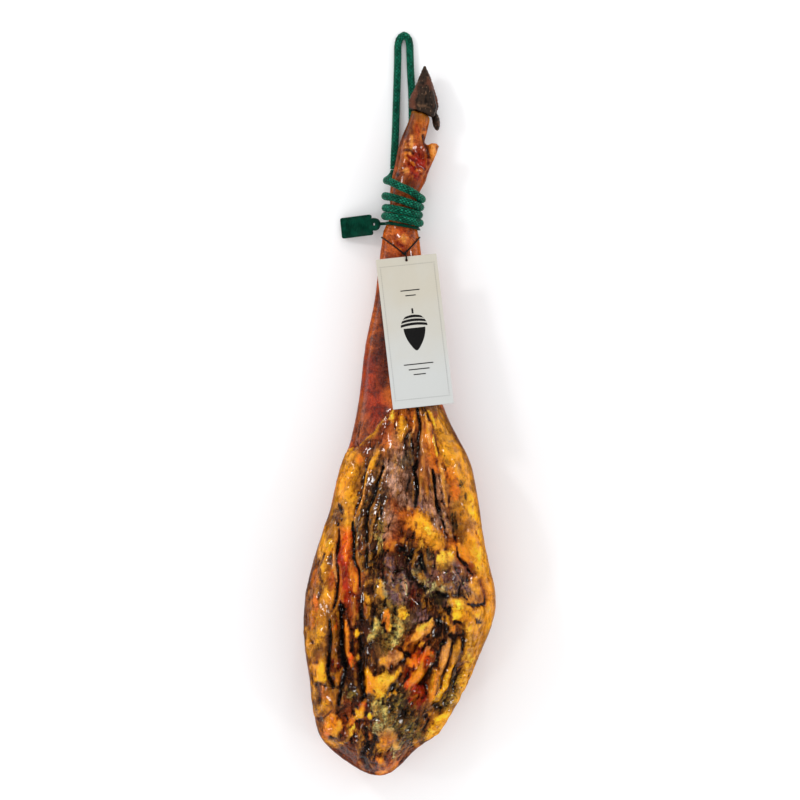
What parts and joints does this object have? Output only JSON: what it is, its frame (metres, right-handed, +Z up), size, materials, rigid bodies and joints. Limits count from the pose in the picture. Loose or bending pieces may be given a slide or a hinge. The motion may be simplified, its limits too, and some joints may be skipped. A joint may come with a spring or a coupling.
{
  "type": "cured ham",
  "caption": "Whole bone-in dry-cured ham with trotter, a green hanging rope wound round the ankle, a seal and a card tag, lying down with its trimmed lean face up.",
  "frame": {"origin": "on the table under the middle of the ham, with the free rope loop left out", "axes": "+Z up from the table through the lean face, +Y along the leg from the rump to the hoof, +X across the lean face to the belly side"},
  "size_m": [0.2207, 0.8626, 0.13],
  "materials": {
    "cured_meat": "oily and glossy, with yellow fat, dark dried meat and patches of mould",
    "hoof_horn": "dull fibrous horn",
    "green_rope": "tightly braided, slightly shiny",
    "green_plastic": "moulded, satin",
    "card": "smooth uncoated card",
    "black_string": "thin round elastic cord"
  },
  "bodies": {
    "root": {"ham": "cured_meat", "hoof_near": "hoof_horn", "hoof_far": "hoof_horn", "rope_winding": "green_rope", "rope_loop": "green_rope", "seal_tag": "green_plastic", "card_tag": "card", "tag_string": "black_string"}
  },
  "joints": []
}
